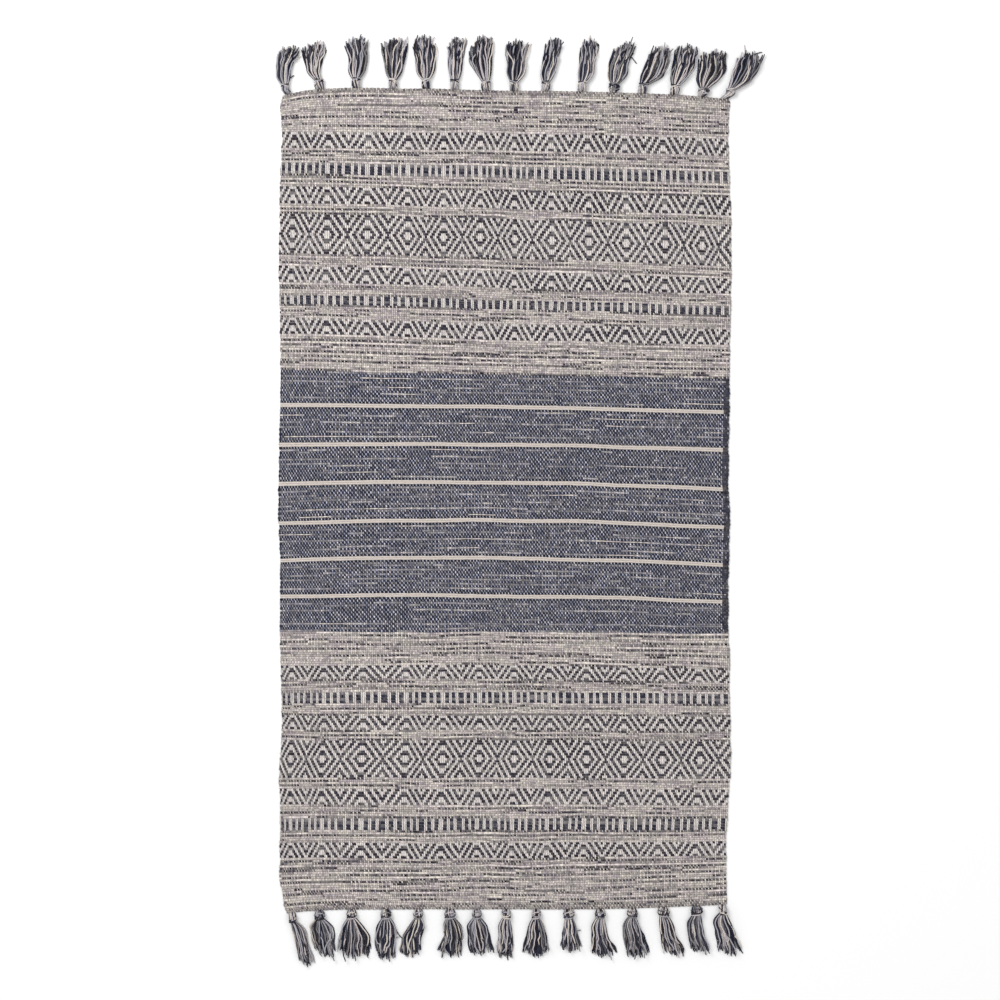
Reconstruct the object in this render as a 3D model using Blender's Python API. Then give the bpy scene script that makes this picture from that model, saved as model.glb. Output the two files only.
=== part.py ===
"""Hand-loomed cotton floor rug with knotted tassels along both ends.

The rug lies flat. The origin is on its underside, at the middle of the cloth.
+X runs across the width, +Y along the length and +Z up. Lengths in the tables
are in millimetres, and everything is turned to metres where it is built.
"""
import math
import random
from collections import namedtuple

import bmesh
import bpy
import numpy as np

MM = 0.001
PART_NAME = "fringed_rug"
CUTTER_NAME = "cutters"
CLEARANCE = 0.3

# A point lower than this lies on the floor
FLOOR_BAND = 0.1
CLOTH_SEED = 11
TASSEL_SEEDS = {"top": 107, "bottom": 200}

# The cloth: its thickness, and how far its woven forms stand up
CLOTH_THICKNESS = 2.6
EDGE_THICKNESS = 1.7
EDGE_ROLL = 3.5
BAND_RISE = 0.4
BAND_SHOULDER = 2.5
STRIPE_RISE = 0.55
STRIPE_HALF_WIDTH = 3.6
RIPPLE = 0.14
CLOTH_COLUMNS = 12
HEM_ROWS = 3
END_MIDDLE = {"top": 641.3, "bottom": -639.7}

# Where the cloth's lines drift, they are read at these two places across it
DRIFT_LEFT_X = -290.0
DRIFT_RIGHT_X = 274.0

Selvedge = namedtuple("Selvedge", "y left right")
SELVEDGES = (
    Selvedge(-646, -341, 346),
    Selvedge(-634, -346, 347),
    Selvedge(-616, -349, 346),
    Selvedge(-594, -352, 346),
    Selvedge(-532, -352, 346),
    Selvedge(-469, -352, 349),
    Selvedge(-438, -354, 352),
    Selvedge(-406, -352, 354),
    Selvedge(-344, -349, 352),
    Selvedge(-250, -351, 351),
    Selvedge(-187, -352, 349),
    Selvedge(-125, -351, 349),
    Selvedge(-31, -354, 352),
    Selvedge(32, -354, 349),
    Selvedge(126, -352, 351),
    Selvedge(251, -351, 352),
    Selvedge(345, -354, 354),
    Selvedge(439, -352, 354),
    Selvedge(502, -352, 351),
    Selvedge(565, -349, 349),
    Selvedge(615, -351, 351),
    Selvedge(635, -348, 351),
)

End = namedtuple("End", "x top bottom")
ENDS = (
    End(-350, 633.5, -647.0),
    End(-315, 641.5, -643.0),
    End(-290, 644.0, -641.5),
    End(-250, 646.0, -640.0),
    End(-200, 646.0, -640.0),
    End(-165, 644.5, -640.0),
    End(-115, 645.0, -639.5),
    End(-65, 643.0, -640.0),
    End(0, 641.5, -639.5),
    End(75, 641.0, -640.0),
    End(150, 639.5, -639.5),
    End(210, 637.5, -638.0),
    End(275, 635.0, -635.5),
    End(325, 630.5, -633.5),
    End(350, 628.5, -632.0),
)

Drift = namedtuple("Drift", "y left right")
DRIFTS = (
    Drift(-640, -1.6, 4.7),
    Drift(-547, 0.0, 2.5),
    Drift(-507, 0.0, 0.0),
    Drift(-403, 0.0, -1.6),
    Drift(-347, 0.8, -2.3),
    Drift(-308, -0.8, -0.8),
    Drift(-268, 0.0, -5.5),
    Drift(-206, 0.0, -1.6),
    Drift(-150, 0.0, -6.3),
    Drift(-29, -3.1, -7.8),
    Drift(87, 0.8, -6.3),
    Drift(146, 3.1, -6.3),
    Drift(196, 6.3, -4.7),
    Drift(265, 8.6, -7.0),
    Drift(307, 6.3, -7.8),
    Drift(347, 7.8, -7.8),
    Drift(411, 6.3, -10.9),
    Drift(471, 7.8, -7.8),
    Drift(514, 5.5, -7.0),
    Drift(562, 2.3, -6.3),
    Drift(641, 2.3, -6.3),
)

# Pattern bands of float weave, which stand thicker than the plain weave between them
Band = namedtuple("Band", "name foot top")
BANDS = (
    Band("chevrons", -558.3, -534.8),
    Band("ticks", -516.0, -497.2),
    Band("chevrons", -475.3, -450.2),
    Band("diamonds", -431.4, -375.1),
    Band("chevrons", -357.8, -335.9),
    Band("ticks", -317.1, -299.9),
    Band("chevrons", -278.0, -257.6),
    Band("chevrons", 252.9, 278.0),
    Band("ticks", 299.9, 314.0),
    Band("chevrons", 334.3, 359.4),
    Band("diamonds", 381.3, 440.8),
    Band("chevrons", 458.1, 484.7),
    Band("ticks", 505.0, 523.8),
    Band("chevrons", 548.9, 575.5),
)
# Raised cream cords of weft across the dark middle
STRIPE_FIRST = -149.6
STRIPE_PITCH = 59.2
STRIPE_COUNT = 6
MIDDLE_FOOT = -205.9
MIDDLE_TOP = 196.5

# The tassel's knot, the yarns that run from the cloth into it, and its locks
KNOT_HALF_LENGTH = 6.4
KNOT_HALF_HEIGHT = 6.0
KNOT_HEIGHT = 5.2
KNOT_FROM_EDGE = 6.9
KNOT_SEGMENTS = 8
KNOT_RINGS = 6
KNOT_SHARP_ANGLE = math.radians(50)
KNOT_TURN = 0.6
# below 1, the knot is fuller than a ball
KNOT_FULLNESS = 0.86
ROOT_HALF_WIDTH = 7.0
ROOT_NARROW = 0.55
ROOT_DEPTH = 2.2
ROOT_FROM_CORNER = 2.0
ROOT_LIFT = 1.2
LOCK_START = 1.5
LOCK_ROOT_HALF = 4.4
LOCK_ROOT_HEIGHT = 0.62
LOCK_FILL = 0.76
LOCK_WIDEST = 6.6
LOCK_TIP = 0.62
LOCK_RIDGE = 0.1
# how uneven the locks are
LOCK_SLACK = 0.12
SIDE_SHORTENING = 0.11
RANDOM_SHORTENING = 0.05
# distances from the cloth's edge at which the tassels' outlines were measured
NEAR_OUT = 24.0
MID_OUT = 43.0

Layer = namedtuple("Layer", "locks root_base base height spread")
LAYERS = (
    Layer(locks=5, root_base=0.9, base=0.0, height=3.4, spread=1.0),
    Layer(locks=4, root_base=4.8, base=3.9, height=3.2, spread=0.78),
)

# root and knot: where it leaves the cloth and where its knot lies. girth: the knot's width.
# near, mid and tip: its left and right edges at NEAR_OUT, at MID_OUT and by its end.
# reach: from the knot's middle to the tip.
Tassel = namedtuple("Tassel", "root knot girth near_left near_right mid_left mid_right"
                              " tip_left tip_right reach")
TASSELS = {
    "top": (
        Tassel(-339, -344, 13, -359, -334, -360, -332, -357, -321, 70),
        Tassel(-290, -291, 15, -310, -288, -315, -285, -317, -279, 67),
        Tassel(-233, -233, 14, -247, -217, -245, -212, -250, -210, 75),
        Tassel(-175, -175, 14, -188, -159, -190, -155, -193, -150, 74),
        Tassel(-124, -124, 13, -140, -108, -142, -106, -146, -108, 77),
        Tassel(-79, -79, 14, -89, -67, -90, -65, -90, -62, 78),
        Tassel(-30, -30, 15, -45, -20, -53, -18, -53, -14, 81),
        Tassel(14, 14, 15, 1, 32, 2, 35, -1, 36, 75),
        Tassel(63, 64, 14, 54, 79, 57, 84, 64, 88, 80),
        Tassel(120, 121, 15, 112, 140, 115, 142, 118, 149, 78),
        Tassel(170, 171, 17, 158, 193, 160, 196, 172, 209, 75),
        Tassel(214, 216, 15, 210, 249, 217, 258, 230, 260, 70),
        Tassel(264, 266, 15, 256, 287, 259, 300, 264, 305, 74),
        Tassel(308, 311, 18, 298, 335, 301, 350, 308, 346, 69),
        Tassel(343, 353, 15, 350, 384, 355, 399, 364, 403, 68),
    ),
    "bottom": (
        Tassel(-333, -332, 12, -335, -311, -330, -307, -323, -299, 80),
        Tassel(-290, -290, 16, -308, -268, -304, -265, -296, -267, 67),
        Tassel(-240, -240, 15, -256, -221, -260, -210, -261, -210, 72),
        Tassel(-186, -186, 16, -202, -170, -206, -169, -204, -171, 75),
        Tassel(-135, -136, 14, -151, -123, -162, -129, -166, -129, 69),
        Tassel(-86, -86, 17, -101, -67, -98, -63, -107, -64, 70),
        Tassel(-44, -44, 14, -61, -27, -60, -22, -57, -20, 67),
        Tassel(2, 2, 14, -12, 11, -11, 13, -15, 14, 72),
        Tassel(49, 49, 14, 35, 63, 32, 68, 27, 68, 69),
        Tassel(100, 100, 17, 91, 112, 89, 115, 87, 119, 61),
        Tassel(149, 149, 16, 134, 159, 135, 162, 135, 173, 70),
        Tassel(199, 199, 16, 183, 211, 185, 219, 187, 226, 72),
        Tassel(248, 248, 18, 240, 264, 242, 269, 247, 283, 71),
        Tassel(300, 300, 18, 284, 310, 285, 314, 290, 321, 69),
        Tassel(340, 341, 13, 324, 353, 329, 362, 333, 368, 74),
    ),
}
END_SIGN = {"top": 1, "bottom": -1}

COLOURS = {
    "cloth": (0.26, 0.25, 0.25, 1.0),
    "tassel": (0.24, 0.23, 0.25, 1.0),
}
YARN_ROUGHNESS = 0.9


def read_table(rows, key, column, at):
    """The value of a table's column at a place along its key, on straight lines."""
    places = [getattr(row, key) for row in rows]
    values = [getattr(row, column) for row in rows]
    return float(np.interp(at, places, values))


def pick_drift(middle, x):
    """How far a pick stands above its height at the middle of the cloth."""
    left = read_table(DRIFTS, "y", "left", middle)
    right = read_table(DRIFTS, "y", "right", middle)
    # a parabola through zero at the middle and the two read places
    bend = (left / DRIFT_LEFT_X - right / DRIFT_RIGHT_X) / (DRIFT_LEFT_X - DRIFT_RIGHT_X)
    slope = left / DRIFT_LEFT_X - bend * DRIFT_LEFT_X
    return slope * x + bend * x * x


def line_height(middle, x):
    """The height up the cloth, at x, of the pick that crosses its middle at that height."""
    end = "top" if middle > 0 else "bottom"
    last_band = BANDS[-1].top if middle > 0 else BANDS[0].foot
    blend = (middle - last_band) / (END_MIDDLE[end] - last_band)
    blend = min(max(blend, 0.0), 1.0)
    edge_drift = read_table(ENDS, "x", end, x) - END_MIDDLE[end]
    return middle + (1.0 - blend) * pick_drift(middle, x) + blend * edge_drift


def cloth_point(middle, inset, share):
    """A point on the pick line, from share 0 at the left selvedge to 1 at the right."""
    guess = (2.0 * share - 1.0) * read_table(SELVEDGES, "y", "right", middle)
    y = line_height(middle, guess)
    left = read_table(SELVEDGES, "y", "left", y)
    right = read_table(SELVEDGES, "y", "right", y)
    x = left + (right - left) * share + inset
    return x, line_height(middle, x)


def cloth_rows():
    """Pick lines of the cloth's mesh from the bottom edge up, with each one's height."""
    rows = []
    for band in BANDS:
        rows.append((band.foot, CLOTH_THICKNESS))
        rows.append((band.foot + BAND_SHOULDER, CLOTH_THICKNESS + BAND_RISE))
        rows.append((band.top - BAND_SHOULDER, CLOTH_THICKNESS + BAND_RISE))
        rows.append((band.top, CLOTH_THICKNESS))
    for stripe in range(STRIPE_COUNT):
        centre = STRIPE_FIRST + stripe * STRIPE_PITCH
        rows.append((centre - STRIPE_HALF_WIDTH, CLOTH_THICKNESS))
        rows.append((centre, CLOTH_THICKNESS + STRIPE_RISE))
        rows.append((centre + STRIPE_HALF_WIDTH, CLOTH_THICKNESS))
    rows.append((MIDDLE_FOOT, CLOTH_THICKNESS))
    rows.append((MIDDLE_TOP, CLOTH_THICKNESS))
    for end, last_band in (("top", BANDS[-1].top), ("bottom", BANDS[0].foot)):
        sign = END_SIGN[end]
        roll = END_MIDDLE[end] - sign * EDGE_ROLL
        for step in range(1, HEM_ROWS):
            rows.append((last_band + (roll - last_band) * step / HEM_ROWS, CLOTH_THICKNESS))
        rows.append((roll, CLOTH_THICKNESS))
        rows.append((END_MIDDLE[end], EDGE_THICKNESS))
    return sorted(rows)


def cloth_columns():
    """Places across the cloth as (share of the width, inset), with a roll at each selvedge."""
    columns = [(0.0, 0.0), (0.0, EDGE_ROLL)]
    for step in range(1, CLOTH_COLUMNS):
        columns.append((step / CLOTH_COLUMNS, 0.0))
    columns += [(1.0, -EDGE_ROLL), (1.0, 0.0)]
    return columns


def end_line(end):
    """The cloth's own end edge as the corner points of its mesh."""
    return [cloth_point(END_MIDDLE[end], inset, share) for share, inset in cloth_columns()]


def end_height(end, x):
    """The height up the cloth of its end edge at x."""
    line = end_line(end)
    return float(np.interp(x, [point[0] for point in line], [point[1] for point in line]))


def yarn_material(name, colour):
    """Matt spun cotton."""
    material = bpy.data.materials.new(name)
    material.use_nodes = True
    shader = material.node_tree.nodes["Principled BSDF"]
    shader.inputs["Base Color"].default_value = colour
    shader.inputs["Roughness"].default_value = YARN_ROUGHNESS
    shader.inputs["Metallic"].default_value = 0.0
    material.diffuse_color = colour
    return material


def mesh_object(name, bm, collection):
    """A new object from a finished bmesh, with its faces turned out."""
    bmesh.ops.recalc_face_normals(bm, faces=bm.faces)
    mesh = bpy.data.meshes.new(name)
    bm.to_mesh(mesh)
    bm.free()
    thing = bpy.data.objects.new(name, mesh)
    collection.objects.link(thing)
    return thing


def loft(bm, sections):
    """A closed solid through sections of as many points each, with both ends capped."""
    rings = [[bm.verts.new([value * MM for value in point]) for point in section]
             for section in sections]
    for ring, after in zip(rings, rings[1:]):
        for side in range(len(ring)):
            ahead = (side + 1) % len(ring)
            bm.faces.new((ring[side], ring[ahead], after[ahead], after[side]))
    bm.faces.new(rings[0][::-1])
    bm.faces.new(rings[-1])


def dissolve_foot(bm):
    """Make one flat face of all the faces that lie on the floor."""
    foot = [face for face in bm.faces
            if all(vert.co.z < FLOOR_BAND * MM for vert in face.verts)]
    bmesh.ops.dissolve_faces(bm, faces=foot, use_verts=False)


def build_cloth(collection, material):
    """The woven cloth: a flat underside, and a top with its bands and cords standing up."""
    rows = cloth_rows()
    columns = cloth_columns()
    across, along = len(columns) - 1, len(rows) - 1
    bm = bmesh.new()
    column_of = bm.verts.layers.int.new("column")
    row_of = bm.verts.layers.int.new("row")
    bmesh.ops.create_grid(bm, x_segments=across, y_segments=along, size=0.5)
    for vert in bm.verts:
        vert[column_of] = round((vert.co.x + 0.5) * across)
        vert[row_of] = round((vert.co.y + 0.5) * along)
        share, inset = columns[vert[column_of]]
        x, y = cloth_point(rows[vert[row_of]][0], inset, share)
        vert.co = (x * MM, y * MM, 0.0)
    raised = bmesh.ops.extrude_face_region(bm, geom=list(bm.faces))
    ripple = random.Random(CLOTH_SEED)
    for vert in raised["geom"]:
        if not isinstance(vert, bmesh.types.BMVert):
            continue
        height = rows[vert[row_of]][1]
        if vert[column_of] in (0, across):
            height = EDGE_THICKNESS
        elif vert[row_of] not in (0, along):
            height += ripple.uniform(-RIPPLE, RIPPLE)
        vert.co.z = height * MM
    dissolve_foot(bm)
    cloth = mesh_object("rug_cloth", bm, collection)
    cloth.data.materials.append(material)


def fuller(value):
    """A coordinate on the unit ball moved out toward the unit cube."""
    return math.copysign(abs(value) ** KNOT_FULLNESS, value)


def knot_mesh(tassel, y, turn):
    """A pulled-tight knot, flat where it lies on the floor."""
    half_size = (0.5 * tassel.girth, KNOT_HALF_LENGTH, KNOT_HALF_HEIGHT)
    bm = bmesh.new()
    bmesh.ops.create_uvsphere(bm, u_segments=KNOT_SEGMENTS, v_segments=KNOT_RINGS, radius=1.0)
    for vert in bm.verts:
        angle = math.atan2(vert.co.y, vert.co.x) + turn
        out = math.hypot(vert.co.x, vert.co.y)
        place = (out * math.cos(angle), out * math.sin(angle), vert.co.z)
        sized = [size * fuller(value) for size, value in zip(half_size, place)]
        height = KNOT_HEIGHT + sized[2]
        if height < FLOOR_BAND:
            height = 0.0
        vert.co = ((tassel.knot + sized[0]) * MM, (y + sized[1]) * MM, height * MM)
    dissolve_foot(bm)
    return bm


def root_line(end, left, right):
    """The straight line that just clears the cloth's end edge from left to right."""
    sign = END_SIGN[end]
    heights = [end_height(end, x) for x in (left, right)]
    stand_out = 0.0
    for x, y in end_line(end):
        if left < x < right:
            chord = float(np.interp(x, (left, right), heights))
            stand_out = max(stand_out, sign * (y - chord))
    return [height + sign * (CLEARANCE + stand_out) for height in heights]


def root_sections(end, tassel, knot_y):
    """The flat gather of yarns between the cloth's edge and the knot."""
    corners = [point[0] for point in end_line(end)]
    left = max(tassel.root - ROOT_HALF_WIDTH, corners[0] + ROOT_FROM_CORNER)
    right = min(tassel.root + ROOT_HALF_WIDTH, corners[-1] - ROOT_FROM_CORNER)
    half = ROOT_HALF_WIDTH * ROOT_NARROW
    inside = knot_y - END_SIGN[end] * LOCK_START
    lines = (
        ((left, right), root_line(end, left, right), 0.0),
        ((tassel.knot - half, tassel.knot + half), (inside, inside), ROOT_LIFT),
    )
    sections = []
    for (x_left, x_right), (y_left, y_right), base in lines:
        sections.append(((x_left, y_left, base), (x_right, y_right, base),
                         (x_right, y_right, base + ROOT_DEPTH),
                         (x_left, y_left, base + ROOT_DEPTH)))
    return sections


def lock_sections(layer, place, tassel, knot_y, sign, dice):
    """One lock of yarns: a three-sided lath, flat below, that follows the tassel's outline."""
    middle = (layer.locks - 1) / 2.0
    outness = abs(place - middle) / middle
    slack = dice.uniform(-LOCK_SLACK, LOCK_SLACK)
    shortening = SIDE_SHORTENING * outness ** 2 + RANDOM_SHORTENING * dice.random()
    if outness == 0.0:
        shortening = 0.0
    tip = tassel.reach * (1.0 - shortening)
    root_left = tassel.knot - LOCK_ROOT_HALF
    root_right = tassel.knot + LOCK_ROOT_HALF
    # how far out from the knot's middle, left edge, right edge, share of the slack, share of the width
    stations = (
        (LOCK_START, root_left, root_right, 0.0, 1.0),
        (NEAR_OUT - KNOT_FROM_EDGE, tassel.near_left, tassel.near_right, 0.3, 1.0),
        (MID_OUT - KNOT_FROM_EDGE, tassel.mid_left, tassel.mid_right, 0.6, 1.0),
        (tip, tassel.tip_left, tassel.tip_right, 1.0, LOCK_TIP),
    )
    sections = []
    for out, left, right, loose, share in stations:
        pitch = (right - left) * layer.spread / layer.locks
        width = min(pitch * LOCK_FILL, LOCK_WIDEST) * share
        x = 0.5 * (left + right) + (place - middle + slack * loose) * pitch
        y = knot_y + sign * out
        base = layer.base
        top = base + layer.height
        if not sections:
            base = layer.root_base
            top = base + layer.height * LOCK_ROOT_HEIGHT
        sections.append(((x - 0.5 * width, y, base), (x + 0.5 * width, y, base),
                         (x + LOCK_RIDGE * width, y, top)))
    return sections


def build_tassel(end, number, tassel, collection, cutters, material):
    """One tassel: a knot with the gather from the cloth and its locks fused into it."""
    name = f"tassel_{end}_{number:02d}"
    sign = END_SIGN[end]
    dice = random.Random(TASSEL_SEEDS[end] + number)
    knot_y = end_height(end, tassel.root) + sign * KNOT_FROM_EDGE
    turn = dice.uniform(0.0, KNOT_TURN)
    knot = mesh_object(name, knot_mesh(tassel, knot_y, turn), collection)
    knot.data.materials.append(material)
    knot.data.shade_smooth()
    knot.data.set_sharp_from_angle(angle=KNOT_SHARP_ANGLE)
    yarns = bmesh.new()
    loft(yarns, root_sections(end, tassel, knot_y))
    for layer in LAYERS:
        for place in range(layer.locks):
            loft(yarns, lock_sections(layer, place, tassel, knot_y, sign, dice))
    cutter = mesh_object(name + "_yarns", yarns, cutters)
    cutter.data.materials.append(material)
    cutter.hide_render = True
    cutter.display_type = "WIRE"
    fuse = knot.modifiers.new("fuse the yarns into the knot", "BOOLEAN")
    fuse.operation = "UNION"
    fuse.solver = "EXACT"
    fuse.object = cutter


def build_rug():
    """The whole rug, in its own collection."""
    for thing in list(bpy.data.objects):
        bpy.data.objects.remove(thing)
    collection = bpy.data.collections.new(PART_NAME)
    cutters = bpy.data.collections.new(CUTTER_NAME)
    for group in (collection, cutters):
        bpy.context.scene.collection.children.link(group)
    cloth_yarn = yarn_material("woven_cotton", COLOURS["cloth"])
    tassel_yarn = yarn_material("tassel_cotton", COLOURS["tassel"])
    build_cloth(collection, cloth_yarn)
    for end, rows in TASSELS.items():
        for number, tassel in enumerate(rows, start=1):
            build_tassel(end, number, tassel, collection, cutters, tassel_yarn)


build_rug()
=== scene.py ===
"""The looks of the hand-loomed cotton rug: its weave, its tassels, the floor, light and camera.

Lengths in the tables are in millimetres and are turned to metres where a mesh is made.
The tables of the cloth's outline, bands and tassels are the same as in the part's source.
"""
import math
from collections import namedtuple
from functools import partial

import bpy
import numpy as np
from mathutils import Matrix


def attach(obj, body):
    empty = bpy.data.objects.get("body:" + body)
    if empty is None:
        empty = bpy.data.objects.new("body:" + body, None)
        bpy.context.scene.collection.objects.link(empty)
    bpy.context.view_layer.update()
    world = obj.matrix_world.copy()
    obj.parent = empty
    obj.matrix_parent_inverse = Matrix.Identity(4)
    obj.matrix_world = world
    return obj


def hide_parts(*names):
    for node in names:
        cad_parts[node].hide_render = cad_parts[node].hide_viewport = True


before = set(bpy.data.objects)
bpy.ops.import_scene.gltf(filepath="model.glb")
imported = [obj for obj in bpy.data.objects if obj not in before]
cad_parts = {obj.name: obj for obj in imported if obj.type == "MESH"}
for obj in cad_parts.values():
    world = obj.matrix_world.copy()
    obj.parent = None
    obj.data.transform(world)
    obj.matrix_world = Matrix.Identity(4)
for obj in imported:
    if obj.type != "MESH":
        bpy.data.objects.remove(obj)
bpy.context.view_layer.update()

MM = 0.001
SEED = 20

# The cloth's outline, as in the part
CLOTH_WIDTH = 700.0
CLOTH_THICKNESS = 2.6
EDGE_THICKNESS = 1.7
EDGE_ROLL = 3.5
BAND_RISE = 0.4
BAND_SHOULDER = 2.5
STRIPE_RISE = 0.55
STRIPE_HALF_WIDTH = 3.6
END_MIDDLE = {"top": 641.3, "bottom": -639.7}
END_SIGN = {"top": 1, "bottom": -1}
DRIFT_LEFT_X = -290.0
DRIFT_RIGHT_X = 274.0

Selvedge = namedtuple("Selvedge", "y left right")
SELVEDGES = [Selvedge(*row) for row in (
    (-646, -341, 346), (-634, -346, 347), (-616, -349, 346), (-594, -352, 346),
    (-532, -352, 346), (-469, -352, 349), (-438, -354, 352), (-406, -352, 354),
    (-344, -349, 352), (-250, -351, 351), (-187, -352, 349), (-125, -351, 349),
    (-31, -354, 352), (32, -354, 349), (126, -352, 351), (251, -351, 352),
    (345, -354, 354), (439, -352, 354), (502, -352, 351), (565, -349, 349),
    (615, -351, 351), (635, -348, 351),
)]
End = namedtuple("End", "x top bottom")
ENDS = [End(*row) for row in (
    (-350, 633.5, -647.0), (-315, 641.5, -643.0), (-290, 644.0, -641.5), (-250, 646.0, -640.0),
    (-200, 646.0, -640.0), (-165, 644.5, -640.0), (-115, 645.0, -639.5), (-65, 643.0, -640.0),
    (0, 641.5, -639.5), (75, 641.0, -640.0), (150, 639.5, -639.5), (210, 637.5, -638.0),
    (275, 635.0, -635.5), (325, 630.5, -633.5), (350, 628.5, -632.0),
)]
Drift = namedtuple("Drift", "y left right")
DRIFTS = [Drift(*row) for row in (
    (-640, -1.6, 4.7), (-547, 0.0, 2.5), (-507, 0.0, 0.0), (-403, 0.0, -1.6),
    (-347, 0.8, -2.3), (-308, -0.8, -0.8), (-268, 0.0, -5.5), (-206, 0.0, -1.6),
    (-150, 0.0, -6.3), (-29, -3.1, -7.8), (87, 0.8, -6.3), (146, 3.1, -6.3),
    (196, 6.3, -4.7), (265, 8.6, -7.0), (307, 6.3, -7.8), (347, 7.8, -7.8),
    (411, 6.3, -10.9), (471, 7.8, -7.8), (514, 5.5, -7.0), (562, 2.3, -6.3),
    (641, 2.3, -6.3),
)]
Band = namedtuple("Band", "name foot top")
BANDS = [Band(*row) for row in (
    ("chevrons", -558.3, -534.8), ("ticks", -516.0, -497.2), ("chevrons", -475.3, -450.2),
    ("diamonds", -431.4, -375.1), ("chevrons", -357.8, -335.9), ("ticks", -317.1, -299.9),
    ("chevrons", -278.0, -257.6), ("chevrons", 252.9, 278.0), ("ticks", 299.9, 314.0),
    ("chevrons", 334.3, 359.4), ("diamonds", 381.3, 440.8), ("chevrons", 458.1, 484.7),
    ("ticks", 505.0, 523.8), ("chevrons", 548.9, 575.5),
)]
STRIPE_FIRST = -149.6
STRIPE_PITCH = 59.2
STRIPE_COUNT = 6
MIDDLE_FOOT = -205.9
MIDDLE_TOP = 196.5

# The weave: a point twill on four shafts that turns at every 11th end
ENDS_ACROSS = 268
FIRST_TURN = 8
HALF_REPEAT = 11
SHAFTS = 4
PLAIN_PITCH = 3.45
BAND_PICKS = {"chevrons": 6, "diamonds": 15, "ticks": 4}
# how far a band's first and last pick lie below the marks of its foot and top
BAND_SINK = {"chevrons": (1.2, 0.8), "diamonds": (2.5, 0.0), "ticks": (0.0, 0.0)}
# where the turning ends lie across the rug, in hundredths of its width, near its two ends
TURNS_TOP = (2.8, 6.5, 10.4, 15.0, 19.4, 24.0, 28.4, 32.4, 36.3, 40.4, 44.5, 48.3,
             52.1, 55.9, 60.3, 64.4, 68.5, 72.7, 76.8, 81.1, 85.4, 89.5, 93.6, 97.2)
TURNS_BOTTOM = (2.3, 5.8, 9.3, 13.4, 18.1, 22.8, 27.8, 31.6, 36.0, 40.1, 44.1, 48.1,
                51.9, 55.9, 59.7, 64.0, 68.0, 72.2, 76.3, 80.5, 84.7, 88.9, 93.1, 97.2)
TURNS_READ_AT = 400.0
# how far a yarn stands over or lies under the cloth's middle, where it is on top
WEFT_UP = 0.24
WARP_UP = -0.2

# distances from the cloth's edge at which the tassels' outlines were measured
NEAR_OUT = 24.0
MID_OUT = 43.0
KNOT_FROM_EDGE = 6.9

# root and knot: where it leaves the cloth and where its knot lies. girth: the knot's width.
# near, mid and tip: its left and right edges at NEAR_OUT, at MID_OUT and by its end.
# reach: from the knot's middle to the tip.
Tassel = namedtuple("Tassel", "root knot girth near_left near_right mid_left mid_right"
                              " tip_left tip_right reach")
TASSELS = {
    "top": [Tassel(*row) for row in (
        (-339, -344, 13, -359, -334, -360, -332, -357, -321, 70),
        (-290, -291, 15, -310, -288, -315, -285, -317, -279, 67),
        (-233, -233, 14, -247, -217, -245, -212, -250, -210, 75),
        (-175, -175, 14, -188, -159, -190, -155, -193, -150, 74),
        (-124, -124, 13, -140, -108, -142, -106, -146, -108, 77),
        (-79, -79, 14, -89, -67, -90, -65, -90, -62, 78),
        (-30, -30, 15, -45, -20, -53, -18, -53, -14, 81),
        (14, 14, 15, 1, 32, 2, 35, -1, 36, 75),
        (63, 64, 14, 54, 79, 57, 84, 64, 88, 80),
        (120, 121, 15, 112, 140, 115, 142, 118, 149, 78),
        (170, 171, 17, 158, 193, 160, 196, 172, 209, 75),
        (214, 216, 15, 210, 249, 217, 258, 230, 260, 70),
        (264, 266, 15, 256, 287, 259, 300, 264, 305, 74),
        (308, 311, 18, 298, 335, 301, 350, 308, 346, 69),
        (343, 353, 15, 350, 384, 355, 399, 364, 403, 68),
    )],
    "bottom": [Tassel(*row) for row in (
        (-333, -332, 12, -335, -311, -330, -307, -323, -299, 80),
        (-290, -290, 16, -308, -268, -304, -265, -296, -267, 67),
        (-240, -240, 15, -256, -221, -260, -210, -261, -210, 72),
        (-186, -186, 16, -202, -170, -206, -169, -204, -171, 75),
        (-135, -136, 14, -151, -123, -162, -129, -166, -129, 69),
        (-86, -86, 17, -101, -67, -98, -63, -107, -64, 70),
        (-44, -44, 14, -61, -27, -60, -22, -57, -20, 67),
        (2, 2, 14, -12, 11, -11, 13, -15, 14, 72),
        (49, 49, 14, 35, 63, 32, 68, 27, 68, 69),
        (100, 100, 17, 91, 112, 89, 115, 87, 119, 61),
        (149, 149, 16, 134, 159, 135, 162, 135, 173, 70),
        (199, 199, 16, 183, 211, 185, 219, 187, 226, 72),
        (248, 248, 18, 240, 264, 242, 269, 247, 283, 71),
        (300, 300, 18, 284, 310, 285, 314, 290, 321, 69),
        (340, 341, 13, 324, 353, 329, 362, 333, 368, 74),
    )],
}
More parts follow.
